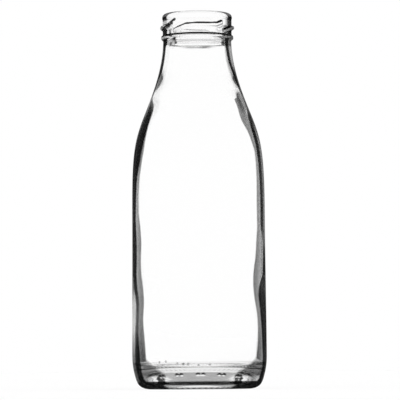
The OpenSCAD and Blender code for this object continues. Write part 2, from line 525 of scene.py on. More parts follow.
@dataclass(frozen=True)
class WallWaves:
    """How the blown wall differs from side to side.

    The inside of a blown bottle is never touched by the mould, so the glass
    runs thick and thin. left is what it does at -X, and right at +X. The
    rows are filled in at steps heights over reach, and softened over blur
    of them. wave is how far the slow waves go, between the wavy heights.
    """

    left: Side = LEFT
    right: Side = RIGHT
    reach: Pair = (8.0, 228.0)
    steps: int = 441
    blur: int = 9
    wave: float = 0.06
    wavy_low: Edge = (24.0, 50.0)
    wavy_high: Edge = (190.0, 215.0)

    def blend(self, column: Column, turn: Array, height: Array) -> Array:
        """Blends a value of the two sides round the bottle.

        Between the rows the values run straight, softened by a weighted
        running mean. Going round, they blend as (1 - cos turn) / 2 for the
        left and (1 + cos turn) / 2 for the right.

        Args:
            column: which value.
            turn: angle round the axis, in radians.
            height: height of each point.

        Returns:
            The value at each point.
        """
        fine = np.linspace(self.reach[0], self.reach[1], self.steps)
        window = np.hanning(self.blur + 2)[1:-1]
        window = window / window.sum()
        sides = []
        for side in (self.left, self.right):
            rows = np.array(side.rows)
            rough = np.interp(fine, rows[:, 0], rows[:, column.value])
            padded = np.pad(rough, self.blur // 2, mode="edge")
            sides.append(np.interp(height, fine, np.convolve(padded, window, "valid")))
        share = (1.0 + np.cos(turn)) / 2
        return sides[0] * (1.0 - share) + sides[1] * share

    def thickness(self, turn: Array, height: Array) -> Array:
        """Gives the wall's thickness, with three slow waves round and up the wall.

        They are sin(3 turn + z / 15) sin(z / 23 + 1), 0.6 sin(5 turn - z / 11
        + 2) and 0.5 sin(8 turn + z / 7 + 0.7), z being the height.

        Args:
            turn: angle round the axis, in radians.
            height: height of each point.

        Returns:
            The thickness at each point, in millimetres.
        """
        wall = self.blend(Column.WALL, turn, height)
        body = between(self.wavy_low, self.wavy_high, height)
        waves = np.sin(3 * turn + height / 15.0) * np.sin(height / 23.0 + 1.0)
        waves = waves + 0.6 * np.sin(5 * turn - height / 11.0 + 2.0)
        waves = waves + 0.5 * np.sin(8 * turn + height / 7.0 + 0.7)
        return wall + self.wave * body * waves


@dataclass(frozen=True)
class Margins:
    """Where a clear wall stops looking clear, and its painted grey margin starts, as the facing value 1 -
    cos(angle).

    A tube of glass bends what is seen through it by
    2 (asin b - asin(b / n) + asin(b / (n k)) - asin(b / k)), b being how far
    from the middle it is looked at and k its inner radius, both as shares of
    the outer radius. The margin starts where that reaches bend degrees.
    mouth_r is the radius that insets are measured on at the mouth.
    """

    ior: float = 1.5
    bend: float = 6.5
    thinnest: float = 0.01
    thickest: float = 0.4
    walls: int = 79
    looks: int = 600
    mouth_r: float = 23.0

    def grey_from(self, share: Array) -> Array:
        """Gives the facing value on the inner wall at which the painted grey margin starts.

        Args:
            share: the wall's thickness as a share of the outer radius.

        Returns:
            The facing value at each point.
        """
        shares = np.linspace(self.thinnest, self.thickest, self.walls)[:, None]
        across = np.linspace(0.0, 1.0, self.looks)
        k = 1.0 - shares
        b = across[None, :] * k
        turned = np.arcsin(b) - np.arcsin(b / self.ior)
        turned = 2 * (turned + np.arcsin(b / (self.ior * k)) - np.arcsin(np.clip(b / k, 0, 1)))
        first = (np.degrees(np.abs(turned)) > self.bend).argmax(axis=1)
        return np.interp(share, shares[:, 0], 1.0 - np.sqrt(1.0 - across[first] ** 2))

    def facing_at(self, inset: Array, radius: Array) -> Array:
        """Gives the facing value inset from a round outline: 1 - sqrt(1 - (1 - inset / r)^2)."""
        return 1.0 - np.sqrt(np.clip(1.0 - (1.0 - inset / radius) ** 2, 0.0, 1.0))


# ---------------------------------------------------------------- the bottle's skin


class Round(Enum):
    """How many points a stretch of the skin has round the axis."""

    FINE = 720
    MIDDLE = 360
    LIGHT = 180


@dataclass
class Stretch:
    """A stretch of the outline, with its own number of points round the axis.

    outline is (count, 2) radii and heights, shape moves the points, and
    inside tells the inner wall.
    """

    outline: Array
    round: Round
    shape: Callable[[Array, Array, Array], tuple[Array, Array]]
    inside: bool = False


@dataclass
class Skin:
    """Collects rings of points, and the faces between them.

    count is how many points there are, split the first one of the inner
    wall, and last the ring or pole that the next block joins. gather is how
    strongly the points gather at the sides.
    """

    points: list[Array] = field(default_factory=list)
    faces: list[Array] = field(default_factory=list)
    count: int = 0
    split: int = 0
    last: Array | None = None
    gather: float = 0.25

    def turns(self, count: int) -> Array:
        """Spaces points round the axis as t - gather sin 2t, which is closer at +X and -X."""
        even = np.arange(count) * 2 * math.pi / count
        return even - self.gather * np.sin(2 * even)

    def pole(self, height: float) -> None:
        """Adds the single point on the axis that opens or closes the skin.

        Args:
            height: the point's height.
        """
        index = np.array([self.count])
        self.points.append(np.array([[0.0, 0.0, height]]))
        self.count += 1
        if self.last is not None:
            ring = self.last
            after = np.roll(ring, -1)
            self.faces.append(np.stack([ring, after, np.full_like(ring, index[0])], 1))
        self.last = index

    def add(self, rings: Array) -> None:
        """Adds a block of rings and joins it to the ring before it.

        Args:
            rings: (count, round, 3) points, in the order of the outline.
        """
        rows, around, _ = rings.shape
        index = self.count + np.arange(rows * around).reshape(rows, around)
        self.points.append(rings.reshape(-1, 3))
        self.count += rows * around
        if self.last is not None:
            self.bridge(self.last, index[0])
        after = np.roll(index, -1, axis=1)
        quads = np.stack([index[:-1], after[:-1], after[1:], index[1:]], -1)
        self.faces.append(quads.reshape(-1, 4))
        self.last = index[-1]

    def bridge(self, a: Array, b: Array) -> None:
        """Joins two rings that have the same, half or twice the points, or a pole.

        Args:
            a: the indices of the ring before.
            b: the indices of the ring after.
        """
        a_next, b_next = np.roll(a, -1), np.roll(b, -1)
        if len(a) == 1:
            self.faces.append(np.stack([np.full_like(b, a[0]), b_next, b], 1))
        elif len(a) == len(b):
            self.faces.append(np.stack([a, a_next, b_next, b], 1))
        elif 2 * len(a) == len(b):
            low, mid, high = b[::2], b[1::2], np.roll(b[::2], -1)
            self.faces.append(np.stack([a, a_next, mid], 1))
            self.faces.append(np.stack([a, mid, low], 1))
            self.faces.append(np.stack([a_next, high, mid], 1))
        elif len(a) == 2 * len(b):
            low, mid, high = a[::2], a[1::2], np.roll(a[::2], -1)
            self.faces.append(np.stack([low, mid, b], 1))
            self.faces.append(np.stack([mid, high, b_next], 1))
            self.faces.append(np.stack([mid, b_next, b], 1))
        else:
            raise ValueError(f"rings of {len(a)} and {len(b)} points can't be joined")

    def mesh(self, name: str) -> bpy.types.Mesh:
        """Makes a smooth-shaded mesh of the points and faces.

        Args:
            name: the mesh's name.

        Returns:
            The mesh, in metres.
        """
        mesh = bpy.data.meshes.new(name)
        points = np.concatenate(self.points) * MM
        faces = [face for block in self.faces for face in block.tolist()]
        mesh.from_pydata(points.tolist(), [], faces)
        mesh.polygons.foreach_set("use_smooth", np.ones(len(mesh.polygons), bool))
        mesh.update()
        return mesh


# ---------------------------------------------------------------- marks for the glass: painted shade and roughness


@dataclass(frozen=True)
class Surface:
    """The bottle's skin, with one value for each point.

    across is the distance from the axis and turn the angle round it. up and
    level are the upright and the level part of the normal, radius is the
    plain outside's at the point's height, and left goes from 0 at +X to 1
    at -X. inside is true on the inner wall. outside is true beyond BODY_R,
    and beyond NECK_R above NECK_H, so that the bore is left out. under is
    true on the dome and the standing ring, within UNDER_R and UNDER_H.
    """

    points: Array
    height: Array
    across: Array
    turn: Array
    up: Array
    level: Array
    radius: Array
    left: Array
    inside: Array
    outside: Array
    under: Array

    BODY_R: ClassVar[float] = 26.5
    NECK_R: ClassVar[float] = 20.0
    NECK_H: ClassVar[float] = 200.0
    UNDER_R: ClassVar[float] = 34.0
    UNDER_H: ClassVar[float] = 5.0

    @classmethod
    def read(cls, mesh: bpy.types.Mesh, inside_from: int, side: Array) -> "Surface":
        """Reads the surface from the bottle's mesh.

        Args:
            mesh: the bottle's mesh, in metres.
            inside_from: the first point of the inner wall.
            side: (count, 2) radii and heights of the outside.

        Returns:
            The surface, in millimetres.
        """
        count = len(mesh.vertices)
        points, normals = np.empty(count * 3), np.empty(count * 3)
        mesh.vertices.foreach_get("co", points)
        mesh.vertex_normals.foreach_get("vector", normals)
        points, normals = points.reshape(-1, 3) / MM, normals.reshape(-1, 3)
        height, across = points[:, 2], np.hypot(points[:, 0], points[:, 1])
        turn = np.arctan2(points[:, 1], points[:, 0])
        inside = np.arange(count) >= inside_from
        neck = (height > cls.NECK_H) & (across > cls.NECK_R)
        return cls(
            points=points,
            height=height,
            across=across,
            turn=turn,
            up=normals[:, 2],
            level=np.hypot(normals[:, 0], normals[:, 1]),
            radius=np.interp(height, side[:, 1], side[:, 0]),
            left=0.5 - 0.5 * np.cos(turn),
            inside=inside,
            outside=~inside & ((across > cls.BODY_R) | neck),
            under=~inside & (across < cls.UNDER_R) & (height < cls.UNDER_H),
        )


class Marker(Protocol):
    """Marks the points of the bottle for its glass.

    A mark whose name ends in "from" or "to" is a facing value, 1 - |cos| of
    the angle at which the glass is looked at. The others are how much painted
    shade a point gets, or how rough it is. In the markers, an Edge holds
    heights or radii in millimetres, unless it says otherwise.
    """

    def marks(self, at: Surface) -> Marks:
        """Gives the marks by name, with one value for each point."""
        ...


@dataclass(frozen=True)
class WallMargin:
    """The painted grey shade in the blown wall's margin, and the painted darker line along its edge.

    The line is edge_least dark, more on the right and low on the wall.
    """

    waves: WallWaves
    margins: Margins
    wall_low: Edge = (15.0, 18.5)
    wall_high: Edge = (193.5, 196.5)
    edge_least: float = 0.25
    edge_right: float = 0.25
    edge_low: float = 0.35
    edge_low_end: Edge = (35.0, 42.0)
    edge_lowest: float = 0.2
    edge_lowest_end: Edge = (24.0, 30.0)

    def marks(self, at: Surface) -> Marks:
        """Marks where the painted grey margin starts, on the inner wall, and how dark the painted line is.

        On a slope the margin starts at 1 - level (1 - f), f being where it
        starts on an upright wall.

        Args:
            at: the bottle's surface.

        Returns:
            grey_from and edge.
        """
        wall = between(self.wall_low, self.wall_high, at.height)
        share = self.waves.thickness(at.turn, at.height) / at.radius
        start = 1.0 - at.level * (1.0 - self.margins.grey_from(share))
        edge = self.edge_least + self.edge_right * (1.0 - at.left)
        edge = edge + self.edge_low * below(self.edge_low_end, at.height)
        edge = edge + self.edge_lowest * below(self.edge_lowest_end, at.height)
        grey_from = np.where(at.inside, mix(NEVER, start, wall), NEVER)
        return {"grey_from": grey_from, "edge": at.inside * wall * edge}


@dataclass(frozen=True)
class WallEnd:
    """Where the sides' rows end and the mouth begins, which is further up on the right."""

    end: Edge = (226.0, 229.0)
    further: float = 4.0
    right_half: Edge = (0.5, 0.9)

    def in_wall(self, at: Surface) -> Array:
        """Gives 1 where the sides' rows hold and 0 on the mouth."""
        further = self.further * above(self.right_half, 1.0 - at.left)
        return below(self.end, at.height - further)


@dataclass(frozen=True)
class Streak:
    """The painted dark streak along the outline, standing in for light that the curved glass turns away.

    On the mouth it stands between two insets. On the foot it is wherever
    |cos| is under foot_level times the normal's level part, and on the lip
    it starts at lip_from. The bead's and the lugs' crests lose some of it,
    and so do the lip, least at its sides, and a bare stretch on the left.
    """

    waves: WallWaves
    margins: Margins
    wall_end: WallEnd = field(default_factory=WallEnd)
    mouth_in: float = 2.6
    mouth_out: float = 0.2
    full: float = 0.98
    foot_end: Edge = (3.4, 4.6)
    foot_level: float = 0.78
    proud_r: Edge = (22.95, 23.9)
    proud_low: Edge = (228.0, 229.0)
    proud_high: Edge = (244.0, 244.6)
    proud_loss: float = 0.7
    lip_start: Edge = (245.8, 246.4)
    lip_from: float = 0.5
    lip_loss: float = 0.75
    lip_kept: float = 0.6
    lip_sides: Edge = (0.45, 0.8)
    bare_low: Edge = (238.0, 239.5)
    bare_high: Edge = (243.0, 244.0)
    bare_loss: float = 0.6

    def reach(self, at: Surface, column: Column, mouth: float) -> Array:
        """Gives a facing value that follows a column of the sides' rows, and an inset on the mouth."""
        wall = self.margins.facing_at(self.waves.blend(column, at.turn, at.height), at.radius)
        return mix(self.margins.facing_at(mouth, self.margins.mouth_r), wall, self.wall_end.in_wall(at))

    def kept(self, at: Surface) -> Array:
        """Gives how much of the streak is left at each point.

        Args:
            at: the bottle's surface.

        Returns:
            0 where there is no streak, up to 1 where it is whole.
        """
        proud = above(self.proud_r, at.across) * between(self.proud_low, self.proud_high, at.height)
        lip = above(self.lip_start, at.height)
        lip_loss = self.lip_loss - self.lip_kept * above(self.lip_sides, np.abs(np.cos(at.turn)))
        bare = at.left * between(self.bare_low, self.bare_high, at.height)
        kept = at.outside * (1.0 - self.proud_loss * proud) * (1.0 - lip * lip_loss)
        return kept * (1.0 - self.bare_loss * bare)

    def marks(self, at: Surface) -> Marks:
        """Marks the painted streak and the painted line outside it.

        Args:
            at: the bottle's surface.

        Returns:
            streak_from, streak_to, streak and rim.
        """
        start = self.reach(at, Column.STREAK_IN, self.mouth_in)
        end = self.reach(at, Column.STREAK_OUT, self.mouth_out)
        foot = below(self.foot_end, at.height)
        start = mix(start, 1.0 - at.level * self.foot_level, foot)
        dark = self.waves.blend(Column.STREAK, at.turn, at.height)
        kept = self.kept(at)
        return {
            "streak_from": mix(start, self.lip_from, above(self.lip_start, at.height)),
            "streak_to": mix(end, NEVER, foot),
            "streak": kept * mix(self.full, dark, self.wall_end.in_wall(at)),
            "rim": kept * self.waves.blend(Column.RIM, at.turn, at.height),
        }


@dataclass(frozen=True)
class Veil:
    """The painted shade beside the streak, over the mouth's right margin, and in the strokes on the mouth.

    The margin is wider and darker on the mouth's lower part.
    """

    waves: WallWaves
    margins: Margins
    mouth_shade_strokes: PaintedMouthStrokes
    wall_end: WallEnd = field(default_factory=WallEnd)
    wall_low: Edge = (7.5, 9.5)
    mouth_low: Edge = (227.0, 228.5)
    mouth_high: Edge = (244.5, 246.0)
    mouth_in: float = 4.6
    mouth_dark: float = 0.5
    lower_end: Edge = (237.0, 241.0)
    lower_in: float = 2.0
    lower_dark: float = 0.25
    mouth_shade_from: float = 0.12

    def marks(self, at: Surface) -> Marks:
        """Marks where the painted shade starts and how dark it is.

        Args:
            at: the bottle's surface.

        Returns:
            veil_from and veil.
        """
        margins, waves = self.margins, self.waves
        start = margins.facing_at(waves.blend(Column.VEIL_IN, at.turn, at.height), at.radius)
        dark = waves.blend(Column.VEIL, at.turn, at.height) * self.wall_end.in_wall(at) * at.outside
        dark = dark * above(self.wall_low, at.height)
        mouth = between(self.mouth_low, self.mouth_high, at.height) * at.outside
        lower = below(self.lower_end, at.height)
        inset = self.mouth_in + self.lower_in * lower
        start = mix(start, margins.facing_at(inset, margins.mouth_r), mouth)
        margin = (self.mouth_dark + self.lower_dark * lower) * mouth * (1.0 - at.left)
        mouth_shade_strokes = self.mouth_shade_strokes.darkness(at.points) * at.outside
        veil_from = np.where(mouth_shade_strokes > 0.0, self.mouth_shade_from, start)
        return {"veil_from": veil_from, "veil": np.maximum(np.maximum(dark, margin), mouth_shade_strokes)}


@dataclass(frozen=True)
class PaintedMouthRings:
    """Two faint rings of painted shade round the inside of the mouth. Each is strong where the other is
    weak.
    """

    low_start: Edge = (228.3, 228.8)
    low_end: Edge = (229.3, 229.8)
    high_start: Edge = (232.4, 232.9)
    high_end: Edge = (233.3, 233.8)
    high_dark: float = 0.6
    sag: float = 1.1
    bore_r: float = 17.0
    bore_h: float = 230.0

    def darkness(self, at: Surface) -> Array:
        """Gives how much painted shade the rings put on each point.

        They come and go as 0.65 + 0.2 sin(5 turn + 1) + 0.15 sin(11 turn),
        and the low one sags by sag sin^2 at the back.

        Args:
            at: the bottle's surface.

        Returns:
            The darkness at each point.
        """
        wavy = 0.65 + 0.2 * np.sin(5 * at.turn + 1.0) + 0.15 * np.sin(11 * at.turn)
        sagged = at.height + self.sag * np.clip(np.sin(at.turn), 0.0, 1.0) ** 2
        low = between(self.low_start, self.low_end, sagged) * wavy
        high = between(self.high_start, self.high_end, at.height) * (1.0 - wavy)
        bore = at.inside | (at.across < self.bore_r) & (at.height > self.bore_h)
        return np.where(bore, low + self.high_dark * high, 0.0)


@dataclass(frozen=True)
class DarkLines:
    """What is painted dark as shade from every side.

    That is the ledges, the gutter, the foot's line and dashes, the mould
    dots and the rings in the mouth, all painted dark as shade on clear glass.
    A ledge is what looks up on the mouth, painted darker for facing up:
    ledge_up is the normal's upright part. The gutter runs between the bead
    and the lugs' band. The dashes are darkest in the standing ring's grooves.
    """

    ring: StandingRing
    dots: HeelDots
    heel_r: float
    rings: PaintedMouthRings = field(default_factory=PaintedMouthRings)
    ledge_up: Edge = (0.12, 0.32)
    ledge_low: Edge = (226.0, 227.0)
    ledge_high: Edge = (244.4, 244.8)
    gutter_low: Edge = (232.5, 232.9)
    gutter_high: Edge = (233.9, 234.3)
    foot_low: Edge = (2.4, 3.0)
    foot_high: Edge = (4.8, 5.6)
    foot_dark: float = 0.95
    dash_high: Edge = (1.0, 1.4)
    dash_r: Edge = (31.0, 32.0)
    dash_least: float = 0.65
    dot_dark: float = 0.8

    def marks(self, at: Surface) -> Marks:
        """Marks how much painted shade each point gets.

        Args:
            at: the bottle's surface.

        Returns:
            dark.
        """
        ledge = above(self.ledge_up, at.up) * between(self.ledge_low, self.ledge_high, at.height)
        gutter = between(self.gutter_low, self.gutter_high, at.height)
        foot = between(self.foot_low, self.foot_high, at.height)
        pulse = 0.5 + 0.5 * np.cos(at.turn * self.ring.grooves)
        dashes = below(self.dash_high, at.height) * mix(self.dash_least, 1.0, pulse)
        dashes = dashes * above(self.dash_r, at.across)
        dots = self.dots.lift(at.turn, at.height, self.heel_r) / self.dots.proud
        lines = [ledge, gutter, self.foot_dark * foot, self.foot_dark * dashes, self.dot_dark * dots]
        return {"dark": np.where(at.outside, np.maximum.reduce(lines), 0.0) + self.rings.darkness(at)}


@dataclass(frozen=True)
class BaseMarks:
    """The pips' painted dark halves, and the painted grey shade over the dome, which leaves their bright
    halves clear.

    There are no dark halves near +X and -X, where |cos turn| is over
    pip_sides. The painted grey shade runs between two radii, and the standing
    ring is a little rough.
    """

    ring: StandingRing
    pip_sides: Edge = (0.91, 0.95)
    painted_dome_shade_dark: float = 0.8
    painted_dome_shade_in: Edge = (18.5, 21.0)
    painted_dome_shade_out: Edge = (27.6, 28.4)
    ring_rough: float = 0.04

    def marks(self, at: Surface) -> Marks:
        """Marks the underside.

        Args:
            at: the bottle's surface.

        Returns:
            dark_in, haze and rough.
        """
        front = below(self.pip_sides, np.abs(np.cos(at.turn)))
        painted_dome_shade = self.painted_dome_shade_dark * at.under * between(self.painted_dome_shade_in, self.painted_dome_shade_out, at.across)
        return {
            "dark_in": self.ring.outer_half(at.turn, at.across) * at.under * front,
            "painted_dome_shade": painted_dome_shade * (1.0 - self.ring.inner_half(at.turn, at.across)),
            "rough": self.ring_rough * at.under,
        }


@dataclass(frozen=True)
class TurnedLight:
    """Painted shade where light that comes through the glass from behind is turned away.

    The brink is a thin painted dark upright line at each side of the bead and
    of what is just above it. The corner is where the inner wall turns into the
    floor.
    """

    brink_dark: float = 0.9
    brink_low: Edge = (229.5, 231.0)
    brink_high: Edge = (236.0, 238.0)
    neck_dark: float = 0.12
    neck_low: Edge = (225.5, 226.5)
    neck_from: float = 0.3
    corner_dark: float = 0.3
    corner_low: Edge = (8.6, 9.6)
    corner_high: Edge = (15.0, 18.0)
    corner_from: float = 0.54

    def marks(self, at: Surface) -> Marks:
        """Marks how dark the painted shade makes the glass, seen from within.

        Args:
            at: the bottle's surface.

        Returns:
            brink, turned and turned_from.
        """
        corner = at.inside * between(self.corner_low, self.corner_high, at.height)
        neck = above(self.neck_low, at.height)
        return {
            "brink": self.brink_dark * between(self.brink_low, self.brink_high, at.height),
            "turned": self.neck_dark * neck + self.corner_dark * corner,
            "turned_from": np.where(at.height > at.NECK_H, self.neck_from, self.corner_from),
        }


@dataclass
class GlassBottle:
    """The bottle: one closed skin of clear glass.

    dome_rings are radii on the dome, and pip_rings the first, the last and
    the step of those where the pips are. plate_step is how far the edge of
    the mould's base plate is set in, over the plate heights. grooved_rings
    is how many rings of the foot have grooves, and dotted the heights that
    the heel has its dots between. The inner wall runs thick and thin between
    the blown heights, and the plain wall is heel_wall and neck_wall thick at
    walls_at. lug_band is how far past the bead's and the lip band's start
    the lugs' band reaches, and same is how close two radii count as one.
    """

    sizes: BottleSizes = field(default_factory=BottleSizes)
    pulls: Pulls = field(default_factory=Pulls)
    lugs: Lugs = field(default_factory=Lugs)
    ring: StandingRing = field(default_factory=StandingRing)
    dots: HeelDots = field(default_factory=HeelDots)
    mouth_shade_strokes: PaintedMouthStrokes = field(default_factory=PaintedMouthStrokes)
    waves: WallWaves = field(default_factory=WallWaves)
    margins: Margins = field(default_factory=Margins)
    dome_rings: tuple[float, ...] = (0.5, 3.0, 7.0, 12.0, 17.0, 21.0, 23.5)
    pip_rings: tuple[float, float, float] = (24.4, 27.5, 0.2)
    plate_step: float = 0.12
    plate_low: Edge = (3.0, 4.5)
    plate_high: Edge = (5.7, 6.1)
    grooved_rings: int = 16
    dotted: Pair = (14.2, 19.1)
    blown_low: Edge = (12.4, 24.0)
    blown_high: Edge = (190.0, 214.0)
    walls_at: Pair = (30.0, 226.0)
    lug_band: Pair = (3.2, 0.1)
    same: float = 0.01

    # -- outlines, in the order in which the skin is walked

    def dome_z(self, radius: Array) -> Array:
        """Gives the underside's dome: push_edge + rise * (1 - (r / dome_r)^2)."""
        s = self.sizes
        return s.push_edge + (s.push_up - s.push_edge) * (1.0 - (radius / s.dome_r) ** 2)

    def underside(self) -> Array:
        """Walks the dome from near its middle to its edge, finely where the pips are."""
        radius = np.concatenate([self.dome_rings, np.arange(*self.pip_rings)])
        return np.stack([radius, self.dome_z(radius)], 1)

    def foot(self) -> Array:
        """Walks the standing ring and the heel's lower curve, up to the mould's parting.

        Returns:
            (count, 2) radii and heights.
        """
        s, p = self.sizes, self.pulls
        roll, edge = p.dome_roll, s.push_edge
        ring_in = s.ring_r - s.ring_w
        part = (s.heel_r - s.part_in, s.part_h)
        before = (s.dome_r - roll, edge + 0.2 * roll)
        after = (s.dome_r + 2 * roll, edge - 1.5 * roll)
        flat = (ring_in + p.ring_round, 0.0)
        pulled = (part[0] - p.part_low[0], part[1] - p.part_low[1])
        return np.concatenate(
            [
                bezier(before, (s.dome_r, edge), (s.dome_r + roll, edge - roll / 2), after, 3),
                bezier(after, (ring_in - 1.5 * roll, roll), (ring_in, 0.0), flat, 4),
                line(flat, (s.ring_r, 0.0), 6),
                bezier((s.ring_r, 0.0), (s.ring_r + p.foot, 0.0), pulled, part, 18),
            ]
        )

    def heel(self) -> Array:
        """Walks the heel from the mould's parting to where the body starts to narrow.

        Returns:
            (count, 2) radii and heights.
        """
        s, p = self.sizes, self.pulls
        part = (s.heel_r - s.part_in, s.part_h)
        pulled = (part[0] + p.part_high[0], part[1] + p.part_high[1])
        return bezier(part, pulled, (s.heel_r, s.heel_h - p.heel), (s.heel_r, s.heel_h), 34)

    def skin_line(
        self, low: Pair, mid_r: float, slope_r: float, top: Pair, counts: tuple[int, int, int]
    ) -> Array:
        """Walks a wall's side: the body's slight taper, the shoulder and the flare into the neck.

        Args:
            low: radius and height at the bottom.
            mid_r: radius where the shoulder starts.
            slope_r: radius on the straight slope at flare_h.
            top: radius and height at the top.
            counts: points for each of the three curves.

        Returns:
            (count, 2) radii and heights.
        """
        s, p = self.sizes, self.pulls
        below_flare, flare, above_flare = (
            (slope_r - s.flare_slope * up, s.flare_h + up) for up in (-p.shoulder_high, 0.0, p.flare_low)
        )
        body = (mid_r, s.body_top_h)
        neck = (top[0] + p.flare_high[0], top[1] - p.flare_high[1])
        return np.concatenate(
            [
                bezier(low, (low[0], low[1] + p.body_low), (mid_r, body[1] - p.body_high), body, counts[0]),
                bezier(body, (mid_r, body[1] + p.shoulder_low), below_flare, flare, counts[1]),
                bezier(flare, above_flare, neck, top, counts[2]),
            ]
        )

    def side(self) -> Array:
        """Walks the outside from the heel to the neck."""
        s = self.sizes
        return self.skin_line((s.heel_r, s.heel_h), s.body_r, s.flare_r, (s.neck_r, s.bead_h), (18, 22, 22))

    def mouth(self) -> Array:
        """Walks the bead and the band that carries the lugs, up to the lip's round edge.

        Returns:
            (count, 2) radii and heights.
        """
        s, p = self.sizes, self.pulls
        low, top = s.bead_h + p.bead_low, s.bead_h + p.bead_top
        crest = (s.bead_r, s.bead_h + p.bead_crest)
        rise, lean = (s.bead_r, crest[1] + p.bead_high), (s.bead_r - p.bead_lean[0], top - p.bead_lean[1])
        fillet = (s.root_r + p.fillet, top)
        turn, end = (s.root_r + p.fillet_low[0], top + p.fillet_low[1]), (s.root_r, top + p.fillet_high)
        root, band = (s.root_r, top + p.fillet_h), (s.root_r, s.height - s.lip_band_h)
        pull_h = band[1] + p.lip_pull
        lip = (s.lip_r, band[1] + p.lip_step)
        return np.concatenate(
            [
                bezier((s.neck_r, s.bead_h), (s.neck_r, low), (s.bead_r, low), crest, 9),
                bezier(crest, rise, lean, fillet, 7),
                bezier(fillet, turn, end, root, 2),
                line(root, band, 30),
                bezier(band, (s.root_r, pull_h), (s.lip_r, pull_h), lip, 3),
                line(lip, (s.lip_r, s.height - p.lip_round), 3),
            ]
        )

    def lip(self) -> Array:
        """Walks the lip and the bore.

        Returns:
            (count, 2) radii and heights.
        """
        s, p = self.sizes, self.pulls
        bore_top = s.height - p.bore_round
        corner = (s.lip_r - p.lip_round, s.height - p.lip_round)
        mouth = (s.bore_r + p.bore_round, bore_top)
        return np.concatenate(
            [
                arc(corner, p.lip_round, 0, 90, 9),
                line((corner[0], s.height), (mouth[0], s.height), 2),
                arc(mouth, p.bore_round, 90, 180, 8),
                line((s.bore_r, bore_top), (s.bore_r, bore_top - s.bore_l), 9),
            ]
        )

    def inner(self) -> Array:
        """Walks the inside, from below the bore down to the floor's rim and in to its middle.

        Returns:
            (count, 2) radii and heights.
        """
        s, p = self.sizes, self.pulls
        bore = (s.bore_r, s.height - p.bore_round - s.bore_l)
        neck = (s.neck_r - s.neck_wall, bore[1] - p.throat_l)
        heel = (s.heel_r - s.heel_wall, p.corner_h)
        floor_h = s.push_up + s.bottom_wall
        cone_in = (heel[0] - p.cone_in[0], floor_h - p.cone_in[1])
        cone_out = (heel[0] - p.cone_out[0], floor_h + p.cone_out[1])
        corner = (cone_out[0] + p.corner_run[0], cone_out[1] + p.corner_run[1])
        flat = (cone_in[0] - p.floor_run[0], cone_in[1] - p.floor_run[1])
        down = self.skin_line(heel, s.body_r - s.body_wall, s.flare_r - s.flare_wall, neck, (26, 26, 26))
        return np.concatenate(
            [
                bezier(bore, (bore[0], bore[1] - p.throat), (neck[0], neck[1] + p.throat), neck, 6),
                down[-2::-1],
                [heel],
                bezier(heel, (heel[0], heel[1] - p.corner), corner, cone_out, 16),
                line(cone_out, cone_in, 4),
                bezier(cone_in, flat, (p.floor_flat, floor_h), (0.0, floor_h), 12)[:-1],
            ]
        )

    # -- shapes, which move the points of an outline

    def shape_dome(self, turn: Array, radius: Array, height: Array) -> tuple[Array, Array]:
        """Presses the pips into the dome."""
        return radius, self.ring.stud(turn, radius, height)

    def shape_foot(self, turn: Array, radius: Array, height: Array) -> tuple[Array, Array]:
        """Cuts the grip grooves, and sets the edge of the mould's base plate in a little."""
        step = self.plate_step * between(self.plate_low, self.plate_high, height)
        return radius - step, self.ring.cut(turn, radius, height)

    def shape_heel(self, turn: Array, radius: Array, height: Array) -> tuple[Array, Array]:
        """Raises the mould dots on the heel."""
        return radius + self.dots.lift(turn, height, self.sizes.heel_r), height

    def shape_plain(self, turn: Array, radius: Array, height: Array) -> tuple[Array, Array]:
        """Leaves the outline as it is."""
        return radius, height

    def shape_mouth(self, turn: Array, radius: Array, height: Array) -> tuple[Array, Array]:
        """Raises the lugs on the band above the bead.

        Args:
            turn: angle round the axis, in radians.
            radius: distance from the axis.
            height: height of each point.

        Returns:
            The new radii and heights.
        """
        s = self.sizes
        low, high = s.bead_h + self.lug_band[0], s.height - s.lip_band_h + self.lug_band[1]
        band = (radius > s.root_r - self.same) & (height > low) & (height < high)
        return radius + np.where(band, self.lugs.lift(turn, height, radius), 0.0), height

    def shape_inside(self, turn: Array, radius: Array, height: Array) -> tuple[Array, Array]:
        """Makes the inner wall run thick and thin.

        A point moves in by how much thicker the glass is there than the
        plain outline's wall.

        Args:
            turn: angle round the axis, in radians.
            radius: distance from the axis.
            height: height of each point.

        Returns:
            The new radii and heights.
        """
        s = self.sizes
        heights = (self.walls_at[0], s.body_top_h, s.flare_h, self.walls_at[1])
        plain = np.interp(height, heights, (s.heel_wall, s.body_wall, s.flare_wall, s.neck_wall))
        share = between(self.blown_low, self.blown_high, height)
        return radius - share * (self.waves.thickness(turn, height) - plain), height

    # -- assembly

    def stretches(self) -> list[Stretch]:
        """Lists the stretches of the skin.

        Returns:
            The stretches, from the underside round to the floor.
        """
        foot, heel = self.foot(), self.heel()
        low, high = self.dotted
        up = heel[:, 1]
        return [
            Stretch(self.underside(), Round.MIDDLE, self.shape_dome),
            Stretch(foot[: self.grooved_rings], Round.FINE, self.shape_foot),
            Stretch(foot[self.grooved_rings :], Round.MIDDLE, self.shape_foot),
            Stretch(heel[up < low], Round.MIDDLE, self.shape_heel),
            Stretch(heel[(up >= low) & (up < high)], Round.FINE, self.shape_heel),
            Stretch(heel[up >= high], Round.MIDDLE, self.shape_plain),
            Stretch(self.side(), Round.LIGHT, self.shape_plain),
            Stretch(self.mouth(), Round.MIDDLE, self.shape_mouth),
            Stretch(self.lip(), Round.LIGHT, self.shape_plain),
            Stretch(self.inner(), Round.LIGHT, self.shape_inside, inside=True),
        ]

    def markers(self) -> list[Marker]:
        """Lists what marks the bottle's points for its glass."""
        return [
            WallMargin(self.waves, self.margins),
            Streak(self.waves, self.margins),
            Veil(self.waves, self.margins, self.mouth_shade_strokes),
            DarkLines(self.ring, self.dots, self.sizes.heel_r),
            BaseMarks(self.ring),
            TurnedLight(),
        ]

